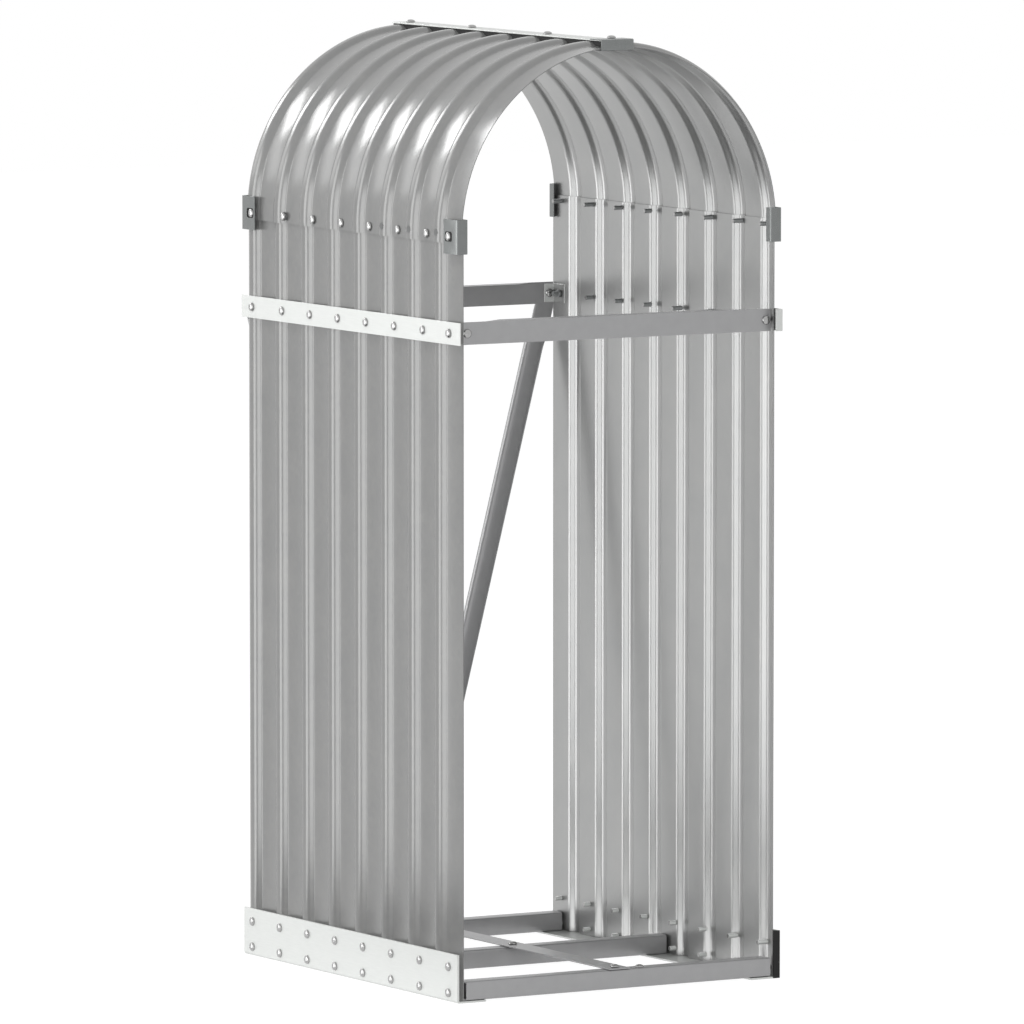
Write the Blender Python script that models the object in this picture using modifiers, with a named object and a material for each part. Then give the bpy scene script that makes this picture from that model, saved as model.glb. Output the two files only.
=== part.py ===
"""Firewood rack of galvanised sheet steel, bolted together.

X runs across the rack, Y from front to back and Z up. The origin is the middle of the footprint, at floor
level.
"""

import math

import bmesh
import bpy
from mathutils import Matrix, Vector

# Driving dimensions, in metres
sheet_depth = 0.455            # corrugated sheets, front edge to back edge
valley_reach = 0.1895          # middle of the rack to the outer face of the side panels' flats
arch_centre_height = 0.800
sheet_thickness = 0.0008
strip_thickness = 0.0015       # bars, strips and corner angles
fit_gap = 0.0003               # between pieces that touch

# Ribs of the corrugated sheets
rib_count = 8
rib_pitch = 0.0565
rib_inset = 0.014              # sheet edge to the middle of the first rib
rib_height = 0.0047
rib_base_half = 0.013
rib_crest_half = 0.005

# Lap joint of roof sheet and side panel
lap_gap = 0.0009
lap_above_centre = 0.005       # side panel's top edge over the arch centre
lap_below_centre = 0.0085      # roof sheet's lower edge under the arch centre
joint_bolts_below_centre = 0.001
arch_steps = 10
crown_joint_gap = 0.001

# Base
skirt_thickness = 0.0025
skirt_height = 0.051
skirt_flange_width = 0.035
skirt_flange_thickness = 0.002
skirt_overhang = 0.0005        # past the sheet at each end
rail_size = 0.020
rail_wall = 0.0015
rail_end_gap = 0.003           # to the inner face of the side panels
middle_rail_offset = -0.0067
back_rail_inset = 0.0046       # sheet edge to the back rail's outer face
centre_strip_width = 0.025

# Mid ring
ring_drop = 0.1015             # arch centre to the ring's bolts and the middle of its bars
ring_bar_height = 0.0235
ring_bar_overhang = 0.0047     # side bars, past the sheet at each end
cross_bar_inset = 0.0046       # sheet edge to the front cross bar's outer face; the back one is flush
cross_bar_end_gap = 0.001
cross_flange_width = 0.018
cross_flange_start = 0.029     # bar end to the flange, at the web
cross_flange_slant = 0.026
lug_margin = 0.006             # bolt to the lug's free edge
angle_leg = 0.025
angle_height = 0.020
corner_nut_clearance = 0.001   # nut to the leg beside it

# Crown
crown_bar_width = 0.025
backing_strip_clearance = 0.001
crown_inner_bolt_reach = 0.079

# Clips
clip_thickness = 0.0012
clip_plate_length = 0.028
clip_height = 0.036
clip_web_width = 0.0132
clip_inner_leg = 0.010
clip_window_length = 0.0125
clip_window_height = 0.0105
crown_clip_width = 0.039
crown_clip_plate = 0.024
crown_clip_depth = 0.0120
crown_clip_shift = -0.004      # to the left

# Braces
brace_width = 0.023
brace_depth = 0.010
brace_flat_thickness = 0.003
brace_tip = 0.008              # bolt to the end of the flat
brace_corner = 0.004           # bolt to where the flat's end narrows
brace_tip_width = 0.015
brace_top_flat = 0.040
brace_foot_flat = 0.075
brace_shoulder = 0.022
brace_sides = 12
brace_roundness = 0.5          # 1 is an oval, less is squarer
brace_foot_stagger = 0.0035    # left foot lies behind the right one
brace_gap = 0.0005             # sheet edge to the front of the braces' upper flats

# Bolts and screws
end_bolt_inset = 0.018         # sheet edge to the first and last screw of a row
inner_count = 6                # between the first and the last
inner_shift = -0.0058          # the inner six sit a little to the front
shank_radius = 0.0025
hole_clearance = 0.0003
head_radius = 0.00475
head_height = 0.0028
head_rim = 0.0006
nut_across_flats = 0.008
nut_thickness = 0.004
bolt_sides = 10
dome_steps = 2
joint_screw_length = 0.014
ring_end_bolt_length = 0.019
corner_bolt_stickout = 0.0004  # past the nut
foot_bolt_stickout = 0.001
crown_bolt_stickout = 0.003
rail_screw_length = 0.009
cut_overrun = 0.004
weld_distance = 0.00001
foot_probes = 6                # places tried to each side of a screw's foot

LEFT = -1
RIGHT = 1
FRONT = -1
BACK = 1
SIDE_NAMES = {LEFT: "left", RIGHT: "right"}
END_NAMES = {FRONT: "front", BACK: "back"}

X_AXIS = Vector((1, 0, 0))
Y_AXIS = Vector((0, 1, 0))
Z_AXIS = Vector((0, 0, 1))

# Places that several pieces share
half_depth = sheet_depth / 2
ring_height = arch_centre_height - ring_drop
panel_inner_reach = valley_reach - sheet_thickness
crest_reach = valley_reach + rib_height
panel_bottom = skirt_flange_thickness + fit_gap
panel_top = arch_centre_height + lap_above_centre
roof_valley_radius = valley_reach + lap_gap + sheet_thickness
roof_crest_radius = roof_valley_radius + rib_height
roof_inner_radius = roof_valley_radius - sheet_thickness
plate_inner_reach = crest_reach + fit_gap
skirt_reach = plate_inner_reach + skirt_thickness
ring_bar_reach = plate_inner_reach + strip_thickness
cross_bar_reach = {FRONT: half_depth - cross_bar_inset, BACK: half_depth}
back_rail_reach = half_depth - back_rail_inset
rail_bottom = skirt_flange_thickness + fit_gap
rail_half_length = panel_inner_reach - rail_end_gap
end_bolt_reach = half_depth - end_bolt_inset
joint_bolt_height = arch_centre_height - joint_bolts_below_centre
crown_bar_bottom = arch_centre_height + roof_crest_radius + fit_gap
crown_bar_top = crown_bar_bottom + strip_thickness
clip_web_inner = half_depth + fit_gap
clip_web_outer = clip_web_inner + clip_thickness
nut_corner_radius = nut_across_flats / 2 / math.cos(math.pi / 6)
brace_top_reach = half_depth + brace_gap
brace_foot_reach = back_rail_reach + fit_gap
angle_leg_outer = panel_inner_reach - fit_gap
angle_leg_inner = angle_leg_outer - strip_thickness
corner_bolt_reach = angle_leg_inner - nut_across_flats / 2 - corner_nut_clearance

for old in list(bpy.data.objects):
    bpy.data.objects.remove(old)

rack_collection = bpy.data.collections.new("firewood_rack")
cutter_collection = bpy.data.collections.new("cutters")
bpy.context.scene.collection.children.link(rack_collection)
bpy.context.scene.collection.children.link(cutter_collection)

rack = bpy.data.objects.new("rack_frame", None)
rack_collection.objects.link(rack)

holes = {}


# Materials

GALVANISED_SHEET = ("979797", 0.30, 0.85)
BRIGHT_ZINC = ("D8D8D8", 0.35, 0.85)
GREY_ZINC = ("9C9C9C", 0.40, 0.80)
CLIP_STEEL = ("7B7D7D", 0.45, 0.80)
BOLT_STEEL = ("C4C4C4", 0.25, 0.90)


def linear(channel):
    """Linear value of one sRGB channel between 0 and 1."""
    if channel <= 0.04045:
        return channel / 12.92
    return ((channel + 0.055) / 1.055) ** 2.4


def finish(piece, look):
    """Give a piece its own material from a colour, a roughness and a metallic value."""
    colour, roughness, metallic = look
    material = bpy.data.materials.new(piece.name + "_finish")
    material.use_nodes = True
    shader = material.node_tree.nodes["Principled BSDF"]
    red, green, blue = (linear(int(colour[i:i + 2], 16) / 255) for i in (0, 2, 4))
    shader.inputs["Base Color"].default_value = (red, green, blue, 1)
    shader.inputs["Roughness"].default_value = roughness
    shader.inputs["Metallic"].default_value = metallic
    piece.data.materials.clear()
    piece.data.materials.append(material)


# Shared shapes

def add_piece(name, mesh, look, location=(0, 0, 0)):
    piece = bpy.data.objects.new(name, mesh)
    piece.location = location
    piece.parent = rack
    rack_collection.objects.link(piece)
    finish(piece, look)
    return piece


def prism_mesh(name, outline, length, u_axis, v_axis):
    """Closed outline in the plane of two axes, extruded square to it by length, half to each side."""
    curve = bpy.data.curves.new(name + "_outline", "CURVE")
    curve.dimensions = "2D"
    curve.fill_mode = "BOTH"
    curve.extrude = length / 2
    spline = curve.splines.new("POLY")
    spline.points.add(len(outline) - 1)
    for point, (u, v) in zip(spline.points, outline):
        point.co = (u, v, 0, 1)
    spline.use_cyclic_u = True
    flat = bpy.data.objects.new(name + "_outline", curve)
    cutter_collection.objects.link(flat)
    depsgraph = bpy.context.evaluated_depsgraph_get()
    mesh = bpy.data.meshes.new_from_object(flat.evaluated_get(depsgraph))
    mesh.name = name
    bpy.data.objects.remove(flat)
    turn = Matrix((u_axis, v_axis, u_axis.cross(v_axis))).transposed().to_4x4()
    bm = bmesh.new()
    bm.from_mesh(mesh)
    bmesh.ops.remove_doubles(bm, verts=bm.verts, dist=weld_distance)
    bmesh.ops.transform(bm, matrix=turn, verts=bm.verts)
    bmesh.ops.recalc_face_normals(bm, faces=bm.faces)
    bm.to_mesh(mesh)
    bm.free()
    return mesh


def rectangle(u_low, u_high, v_low, v_high):
    return [(u_low, v_low), (u_high, v_low), (u_high, v_high), (u_low, v_high)]


def add_cutter(name, mesh):
    cutter = bpy.data.objects.new(name, mesh)
    cutter.parent = rack
    cutter.hide_render = True
    cutter.display_type = "WIRE"
    cutter_collection.objects.link(cutter)
    return cutter


def cut(piece, cutter):
    boolean = piece.modifiers.new(cutter.name, "BOOLEAN")
    boolean.operation = "DIFFERENCE"
    boolean.object = cutter


def axis_turn(direction):
    return direction.to_track_quat("Z", "Y").to_matrix().to_4x4()


def plan_hole(pieces, centre, direction, length):
    """Note a bolt hole through each of the pieces, to be drilled when all are made."""
    for piece in pieces:
        holes.setdefault(piece.name, []).append((Vector(centre), Vector(direction), length))


def drill_holes():
    for name, places in holes.items():
        bm = bmesh.new()
        for centre, direction, length in places:
            bmesh.ops.create_cone(
                bm, cap_ends=True, segments=bolt_sides, depth=length,
                radius1=shank_radius + hole_clearance, radius2=shank_radius + hole_clearance,
                matrix=Matrix.Translation(centre) @ axis_turn(direction))
        mesh = bpy.data.meshes.new(name + "_holes")
        bm.to_mesh(mesh)
        bm.free()
        cut(bpy.data.objects[name], add_cutter(name + "_holes", mesh))


def shade(piece, crease_degrees=35):
    piece.data.shade_smooth()
    piece.data.set_sharp_from_angle(angle=math.radians(crease_degrees))


# Corrugated sheets
# The same sheet serves both sides, turned end for end: its first rib is at the back edge on the left side
# and at the front edge on the right side.

def rib_centres(side):
    first = half_depth - rib_inset
    return [-side * (first - rib_pitch * index) for index in range(rib_count)]


def rise(side, y):
    """Height of the sheet over its flats at a place along its depth."""
    off = min(abs(y - centre) for centre in rib_centres(side))
    if off <= rib_crest_half:
        return rib_height
    if off >= rib_base_half:
        return 0.0
    return rib_height * (rib_base_half - off) / (rib_base_half - rib_crest_half)


def top_rise(side, y, radius):
    """Highest rise under a round foot."""
    places = [y + radius * probe / foot_probes for probe in range(-foot_probes, foot_probes + 1)]
    return max(rise(side, place) for place in places)


def sheet_profile(side):
    """Places along the depth of a sheet, each with its rise."""
    places = {-half_depth, half_depth}
    for centre in rib_centres(side):
        for off in (rib_crest_half, rib_base_half):
            places.update(place for place in (centre - off, centre + off) if abs(place) < half_depth)
    return [(place, rise(side, place)) for place in sorted(places)]


def profile_edges(bm, side, reach, height):
    """The sheet's profile as a chain of edges at one height."""
    chain = [bm.verts.new((side * (reach + lift), y, height)) for y, lift in sheet_profile(side)]
    return [bm.edges.new(pair) for pair in zip(chain, chain[1:])]


def extrude_edges(bm, edges, offset):
    grown = bmesh.ops.extrude_edge_only(bm, edges=edges)["geom"]
    verts = [item for item in grown if isinstance(item, bmesh.types.BMVert)]
    bmesh.ops.translate(bm, vec=offset, verts=verts)


def sheet_piece(name, bm, side):
    """Turn an open corrugated surface, its outer face, into a sheet."""
    bmesh.ops.recalc_face_normals(bm, faces=bm.faces)
    if sum(face.normal.x * face.calc_area() for face in bm.faces) * side < 0:
        bmesh.ops.reverse_faces(bm, faces=bm.faces)
    mesh = bpy.data.meshes.new(name)
    bm.to_mesh(mesh)
    bm.free()
    piece = add_piece(name, mesh, GALVANISED_SHEET)
    wall = piece.modifiers.new("sheet", "SOLIDIFY")
    wall.thickness = sheet_thickness
    wall.offset = -1
    wall.use_even_offset = True
    shade(piece)
    return piece


def side_panel(side):
    bm = bmesh.new()
    foot = profile_edges(bm, side, valley_reach, panel_bottom)
    extrude_edges(bm, foot, (0, 0, panel_top - panel_bottom))
    return sheet_piece(SIDE_NAMES[side] + "_side_panel", bm, side)


def roof_sheet(side):
    bm = bmesh.new()
    spring = profile_edges(bm, side, roof_valley_radius, arch_centre_height)
    crown_angle = math.pi / 2 - crown_joint_gap / 2 / roof_valley_radius
    bmesh.ops.spin(
        bm, geom=spring, cent=(0, 0, arch_centre_height), axis=(0, 1, 0),
        angle=-side * crown_angle, steps=arch_steps)
    extrude_edges(bm, spring, (0, 0, -lap_below_centre))
    return sheet_piece(SIDE_NAMES[side] + "_roof_sheet", bm, side)


# Bolts

def screw_mesh(name, length):
    """Domed head and plain shank, turned about Z, with the head's underside at zero."""
    dome = [math.pi / 2 * step / dome_steps for step in range(dome_steps + 1)]
    profile = [
        (head_radius * math.sin(turn), head_rim + (head_height - head_rim) * math.cos(turn))
        for turn in dome]
    profile += [(head_radius, 0), (shank_radius, 0), (shank_radius, -length), (0, -length)]
    bm = bmesh.new()
    chain = [bm.verts.new((radius, 0, height)) for radius, height in profile]
    for pair in zip(chain, chain[1:]):
        bm.edges.new(pair)
    mesh = bpy.data.meshes.new(name)
    bm.to_mesh(mesh)
    bm.free()
    turned = bpy.data.objects.new(name, mesh)
    cutter_collection.objects.link(turned)
    screw = turned.modifiers.new("turn", "SCREW")
    screw.steps = bolt_sides
    screw.render_steps = bolt_sides
    screw.use_merge_vertices = True
    screw.merge_threshold = weld_distance
    return turned


def nut_mesh(name, grip):
    """Hexagonal nut under the parts that the bolt clamps."""
    bm = bmesh.new()
    middle = -(grip + 2 * fit_gap + nut_thickness / 2)
    bmesh.ops.create_cone(
        bm, cap_ends=True, segments=6, radius1=nut_corner_radius, radius2=nut_corner_radius,
        depth=nut_thickness, matrix=Matrix.Translation((0, 0, middle)))
    mesh = bpy.data.meshes.new(name)
    bm.to_mesh(mesh)
    bm.free()
    nut = bpy.data.objects.new(name, mesh)
    cutter_collection.objects.link(nut)
    return nut


def fastener(name, seat, direction, grip, length, pieces, with_nut=True):
    """A bolt with its nut, or a screw, whose head sits on a point of the outer piece.

    grip is the distance from that seat to the inner face under the nut.
    """
    direction = Vector(direction)
    turned = screw_mesh(name + "_turned", length)
    extras = [turned]
    if with_nut:
        nut = nut_mesh(name + "_nut", grip)
        union = turned.modifiers.new("nut", "BOOLEAN")
        union.operation = "UNION"
        union.object = nut
        extras.append(nut)
    depsgraph = bpy.context.evaluated_depsgraph_get()
    mesh = bpy.data.meshes.new_from_object(turned.evaluated_get(depsgraph))
    mesh.name = name
    for extra in extras:
        bpy.data.objects.remove(extra)
    piece = add_piece(name, mesh, BOLT_STEEL, Vector(seat) + direction * fit_gap)
    piece.rotation_euler = axis_turn(direction).to_euler()
    shade(piece)
    hole_length = grip + 2 * cut_overrun
    plan_hole(pieces, Vector(seat) - direction * grip / 2, direction, hole_length)
    return piece


def row_places():
    """Places of the eight screws of a joint, front to back."""
    pitch = 2 * end_bolt_reach / (inner_count + 1)
    first = inner_shift - pitch * (inner_count - 1) / 2
    inner = [first + pitch * index for index in range(inner_count)]
    return [-end_bolt_reach] + inner + [end_bolt_reach]


# Side panels and roof

panels = {side: side_panel(side) for side in (LEFT, RIGHT)}
roofs = {side: roof_sheet(side) for side in (LEFT, RIGHT)}

for side in (LEFT, RIGHT):
    for number, y in enumerate(row_places(), 1):
        seat = roof_valley_radius + top_rise(side, y, head_radius)
        fastener(
            f"{SIDE_NAMES[side]}_joint_screw_{number}", (side * seat, y, joint_bolt_height),
            (side, 0, 0), seat - panel_inner_reach, joint_screw_length, [roofs[side], panels[side]],
            with_nut=False)


# Base skirts and rails

def base_skirt(side):
    """Upright plate against the ribs, turned inwards along the floor."""
    outer = side * skirt_reach
    inner = side * plate_inner_reach
    toe = side * (skirt_reach - skirt_flange_width)
    outline = [
        (outer, 0), (outer, skirt_height), (inner, skirt_height),
        (inner, skirt_flange_thickness), (toe, skirt_flange_thickness), (toe, 0)]
    name = SIDE_NAMES[side] + "_base_skirt"
    mesh = prism_mesh(name, outline, 2 * (half_depth + skirt_overhang), X_AXIS, Z_AXIS)
    return add_piece(name, mesh, BRIGHT_ZINC)


def base_rail(name, middle):
    """Square tube across the rack, open at both ends, resting on the skirts' flanges."""
    half = rail_size / 2
    bore = half - rail_wall
    mesh = prism_mesh(name, rectangle(-half, half, -half, half), 2 * rail_half_length, Y_AXIS, Z_AXIS)
    rail = add_piece(name, mesh, GREY_ZINC, (0, middle, rail_bottom + half))
    core_length = 2 * (rail_half_length + cut_overrun)
    core_mesh = prism_mesh(name + "_bore", rectangle(-bore, bore, -bore, bore), core_length, Y_AXIS, Z_AXIS)
    core = add_cutter(name + "_bore", core_mesh)
    core.location = rail.location
    cut(rail, core)
    return rail


for side in (LEFT, RIGHT):
    base_skirt(side)
front_rail_middle = -(half_depth + skirt_overhang) + rail_size / 2
back_rail_middle = back_rail_reach - rail_size / 2
rail_middles = {
    "front_base_rail": front_rail_middle,
    "middle_base_rail": middle_rail_offset,
    "back_base_rail": back_rail_middle}
rails = {name: base_rail(name, middle) for name, middle in rail_middles.items()}

rail_top = rail_bottom + rail_size
strip_bottom = rail_top + fit_gap
strip_top = strip_bottom + strip_thickness
strip_front = front_rail_middle - rail_size / 2
strip_back = back_rail_middle + rail_size / 2
half_strip = centre_strip_width / 2
centre_strip = add_piece(
    "base_centre_strip",
    prism_mesh(
        "base_centre_strip",
        rectangle(-half_strip, half_strip, strip_front, strip_back), strip_thickness, X_AXIS, Y_AXIS),
    GREY_ZINC, (0, 0, (strip_bottom + strip_top) / 2))
for name, rail in rails.items():
    fastener(
        name.replace("base_rail", "rail_screw"), (0, rail_middles[name], strip_top), Z_AXIS,
        strip_top - rail_top + rail_wall, rail_screw_length, [centre_strip, rail], with_nut=False)


# Mid ring

def ring_side_bar(side):
    inner, outer = sorted((side * plate_inner_reach, side * ring_bar_reach))
    half = ring_bar_height / 2
    name = SIDE_NAMES[side] + "_mid_bar"
    outline = rectangle(inner, outer, ring_height - half, ring_height + half)
    mesh = prism_mesh(name, outline, 2 * (half_depth + ring_bar_overhang), X_AXIS, Z_AXIS)
    return add_piece(name, mesh, BRIGHT_ZINC)


def ring_cross_bar(end):
    """Angle strip between the panels: upright web, and a top flange that is cut away at its ends."""
    name = END_NAMES[end] + "_mid_bar"
    face = end * cross_bar_reach[end]
    web_inner = end * (cross_bar_reach[end] - strip_thickness)
    lip = end * (cross_bar_reach[end] - cross_flange_width)
    low = ring_height - ring_bar_height / 2
    high = ring_height + ring_bar_height / 2
    under = high - strip_thickness
    outline = [(face, low), (face, high), (lip, high), (lip, under), (web_inner, under), (web_inner, low)]
    half_length = panel_inner_reach - cross_bar_end_gap
    bar = add_piece(name, prism_mesh(name, outline, 2 * half_length, Y_AXIS, Z_AXIS), GREY_ZINC)
    past_end = half_length + cut_overrun
    flange_start = half_length - cross_flange_start
    flange_free = flange_start - cross_flange_slant
    past_lip = lip - end * cut_overrun
    for side in (LEFT, RIGHT):
        corner = [
            (side * past_end, web_inner), (side * flange_start, web_inner),
            (side * flange_free, past_lip), (side * past_end, past_lip)]
        corner_name = f"{name}_{SIDE_NAMES[side]}_corner"
        notch = add_cutter(corner_name, prism_mesh(corner_name, corner, 2 * cut_overrun, X_AXIS, Y_AXIS))
        notch.location = (0, 0, high)
        cut(bar, notch)
    return bar


lug_stack = 2 * strip_thickness + fit_gap


def corner_angle(side, end):
    """Small angle inside a corner: one leg on the side panel, one behind the cross bar."""
    name = f"{END_NAMES[end]}_{SIDE_NAMES[side]}_corner_angle"
    wall_outer = side * angle_leg_outer
    wall_inner = side * angle_leg_inner
    lug_face = end * (cross_bar_reach[end] - strip_thickness - fit_gap)
    lug_back = end * (cross_bar_reach[end] - lug_stack)
    lug_end = side * (corner_bolt_reach - lug_margin)
    leg_end = lug_face - end * angle_leg
    outline = [
        (wall_outer, lug_face), (lug_end, lug_face), (lug_end, lug_back),
        (wall_inner, lug_back), (wall_inner, leg_end), (wall_outer, leg_end)]
    mesh = prism_mesh(name, outline, angle_height, X_AXIS, Y_AXIS)
    return add_piece(name, mesh, GREY_ZINC, (0, 0, ring_height))


side_bars = {side: ring_side_bar(side) for side in (LEFT, RIGHT)}
cross_bars = {end: ring_cross_bar(end) for end in (FRONT, BACK)}
angles = {(side, end): corner_angle(side, end) for side in (LEFT, RIGHT) for end in (FRONT, BACK)}

ring_end_grip = ring_bar_reach - angle_leg_inner
for (side, end), angle in angles.items():
    fastener(
        f"{END_NAMES[end]}_{SIDE_NAMES[side]}_ring_bolt",
        (side * ring_bar_reach, end * end_bolt_reach, ring_height), (side, 0, 0),
        ring_end_grip, ring_end_bolt_length, [side_bars[side], panels[side], angle])


# Braces behind the rack

def brace_ring(bm, along, half_width, half_thickness, offset):
    """One section of a brace, an oval around its axis, square to it."""
    ring = []
    for index in range(brace_sides):
        turn = 2 * math.pi * (index + 0.5) / brace_sides
        across = math.copysign(abs(math.cos(turn)) ** brace_roundness, math.cos(turn))
        outward = math.copysign(abs(math.sin(turn)) ** brace_roundness, math.sin(turn))
        ring.append(bm.verts.new((half_width * across, offset + half_thickness * outward, along)))
    return ring


def brace(side, top, foot):
    """Oval tube with flattened ends, from its foot bolt to its top bolt.

    The flats' front faces and the tube's front lie in one plane, which holds both bolts' places.
    """
    span = (top - foot).length
    flat = brace_flat_thickness / 2
    round_half = brace_depth / 2
    wide = brace_width / 2
    tip = brace_tip_width / 2
    stations = [
        (-brace_tip, tip, flat), (-brace_corner, wide, flat),
        (brace_foot_flat, wide, flat), (brace_foot_flat + brace_shoulder, wide, round_half),
        (span - brace_top_flat - brace_shoulder, wide, round_half), (span - brace_top_flat, wide, flat),
        (span + brace_corner, wide, flat), (span + brace_tip, tip, flat)]
    bm = bmesh.new()
    rings = [brace_ring(bm, along, half_width, half, half) for along, half_width, half in stations]
    for lower, upper in zip(rings, rings[1:]):
        for index in range(brace_sides):
            after = (index + 1) % brace_sides
            bm.faces.new((lower[index], lower[after], upper[after], upper[index]))
    bm.faces.new(rings[0])
    bm.faces.new(rings[-1])
    bmesh.ops.recalc_face_normals(bm, faces=bm.faces)
    name = SIDE_NAMES[side] + "_brace"
    mesh = bpy.data.meshes.new(name)
    bm.to_mesh(mesh)
    bm.free()
    piece = add_piece(name, mesh, GREY_ZINC, foot)
    up = (top - foot).normalized()
    across = Y_AXIS.cross(up).normalized()
    piece.rotation_euler = Matrix((across, up.cross(across), up)).transposed().to_euler()
    shade(piece)
    return piece


foot_height = rail_bottom + rail_size / 2
braces = {}
for side in (LEFT, RIGHT):
    stagger = brace_foot_stagger if side == LEFT else 0
    braces[side] = brace(
        side, Vector((side * corner_bolt_reach, brace_top_reach, ring_height)),
        Vector((0, brace_foot_reach + stagger, foot_height)))

# All four corner bolts have their heads to the front; the back ones hold the braces as well.
front_seat = -cross_bar_reach[FRONT]
back_seat = cross_bar_reach[BACK] - lug_stack
back_stack = brace_top_reach + brace_flat_thickness - back_seat
for side in (LEFT, RIGHT):
    fastener(
        f"front_{SIDE_NAMES[side]}_corner_bolt", (side * corner_bolt_reach, front_seat, ring_height),
        (0, FRONT, 0), lug_stack, lug_stack + 2 * fit_gap + nut_thickness + corner_bolt_stickout,
        [cross_bars[FRONT], angles[side, FRONT]])
    fastener(
        f"back_{SIDE_NAMES[side]}_corner_bolt", (side * corner_bolt_reach, back_seat, ring_height),
        (0, FRONT, 0), back_stack, back_stack + 2 * fit_gap + nut_thickness + corner_bolt_stickout,
        [cross_bars[BACK], angles[side, BACK], braces[side]])

feet_back = brace_foot_reach + brace_foot_stagger + brace_flat_thickness
foot_stack = feet_back - (back_rail_reach - rail_wall)
fastener(
    "brace_foot_bolt", (0, feet_back, foot_height), (0, BACK, 0), foot_stack,
    foot_stack + 2 * fit_gap + nut_thickness + foot_bolt_stickout,
    [braces[LEFT], braces[RIGHT], rails["back_base_rail"]])


# Crown

half_crown_bar = crown_bar_width / 2
crown_bar = add_piece(
    "crown_bar",
    prism_mesh(
        "crown_bar", rectangle(-half_crown_bar, half_crown_bar, -half_depth, half_depth),
        strip_thickness, X_AXIS, Y_AXIS),
    BRIGHT_ZINC, (0, 0, (crown_bar_bottom + crown_bar_top) / 2))

facet_slope = math.tan(math.pi / 4 / arch_steps)
backing_drop = half_crown_bar * facet_slope
backing_top = arch_centre_height + roof_inner_radius - backing_drop - fit_gap
backing_bottom = backing_top - strip_thickness
backing_front = crown_clip_plate + backing_strip_clearance - clip_web_outer
backing_back = half_depth - backing_strip_clearance
backing_strip = add_piece(
    "crown_backing_strip",
    prism_mesh(
        "crown_backing_strip", rectangle(-half_crown_bar, half_crown_bar, backing_front, backing_back),
        strip_thickness, X_AXIS, Y_AXIS),
    GREY_ZINC, (0, 0, (backing_bottom + backing_top) / 2))

crown_clip_top = crown_bar_top + fit_gap + clip_thickness
crown_clip_bottom = crown_clip_top - crown_clip_depth


def crown_clip(name):
    """U-shaped clip over the front end of the crown bar and the edges of both roof sheets."""
    plate_under = crown_clip_top - clip_thickness
    leg_top = crown_clip_bottom + clip_thickness
    plate_end = crown_clip_plate - clip_web_outer
    outline = [
        (-clip_web_outer, crown_clip_bottom), (-clip_web_outer, crown_clip_top), (plate_end, crown_clip_top),
        (plate_end, plate_under), (-clip_web_inner, plate_under), (-clip_web_inner, leg_top),
        (plate_end, leg_top), (plate_end, crown_clip_bottom)]
    mesh = prism_mesh(name, outline, crown_clip_width, Y_AXIS, Z_AXIS)
    return add_piece(name, mesh, CLIP_STEEL, (crown_clip_shift, 0, 0))


front_crown_clip = crown_clip("front_crown_clip")
clip_stack = crown_clip_top - crown_clip_bottom
fastener(
    "front_crown_screw", (0, -end_bolt_reach, crown_clip_top), Z_AXIS, clip_stack, clip_stack,
    [front_crown_clip, crown_bar, roofs[LEFT], roofs[RIGHT]], with_nut=False)
bar_stack = crown_bar_top - backing_bottom
crown_bolt_places = {
    "front_inner_crown_bolt": -crown_inner_bolt_reach,
    "back_inner_crown_bolt": crown_inner_bolt_reach,
    "back_crown_bolt": end_bolt_reach}
for name, y in crown_bolt_places.items():
    fastener(
        name, (0, y, crown_bar_top), Z_AXIS, bar_stack,
        bar_stack + 2 * fit_gap + nut_thickness + crown_bolt_stickout,
        [crown_bar, backing_strip, roofs[LEFT], roofs[RIGHT]])


# Corner clips over the sheet edges at the lap joints

def corner_clip(side, end):
    """U-shaped clip: outer plate with a window for the last joint bolt, web, short inner leg."""
    name = f"{END_NAMES[end]}_{SIDE_NAMES[side]}_clip"
    plate_in = side * (roof_crest_radius + fit_gap)
    plate_out = side * (roof_crest_radius + fit_gap + clip_thickness)
    leg_in = plate_out - side * clip_web_width
    leg_out = leg_in + side * clip_thickness
    web_out = end * clip_web_outer
    web_in = end * clip_web_inner
    plate_end = end * (clip_web_outer - clip_plate_length)
    leg_end = end * (clip_web_outer - clip_inner_leg)
    outline = [
        (plate_out, plate_end), (plate_out, web_out), (leg_in, web_out), (leg_in, leg_end),
        (leg_out, leg_end), (leg_out, web_in), (plate_in, web_in), (plate_in, plate_end)]
    mesh = prism_mesh(name, outline, clip_height, X_AXIS, Y_AXIS)
    clip = add_piece(name, mesh, CLIP_STEEL, (0, 0, joint_bolt_height))
    half_length = clip_window_length / 2
    half_height = clip_window_height / 2
    window = add_cutter(
        name + "_window",
        prism_mesh(
            name + "_window", rectangle(-half_length, half_length, -half_height, half_height),
            2 * cut_overrun, Y_AXIS, Z_AXIS))
    window.location = (plate_out, end * end_bolt_reach, joint_bolt_height)
    cut(clip, window)
    return clip


for side in (LEFT, RIGHT):
    for end in (FRONT, BACK):
        corner_clip(side, end)

drill_holes()

# Set the footprint's middle on the origin

bpy.context.view_layer.update()
depsgraph = bpy.context.evaluated_depsgraph_get()
depths = []
for piece in rack.children:
    if piece.name in rack_collection.objects:
        built = piece.evaluated_get(depsgraph)
        depths += [(built.matrix_world @ Vector(corner)).y for corner in built.bound_box]
rack.location = (0, -(min(depths) + max(depths)) / 2, 0)
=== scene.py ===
import math

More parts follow.
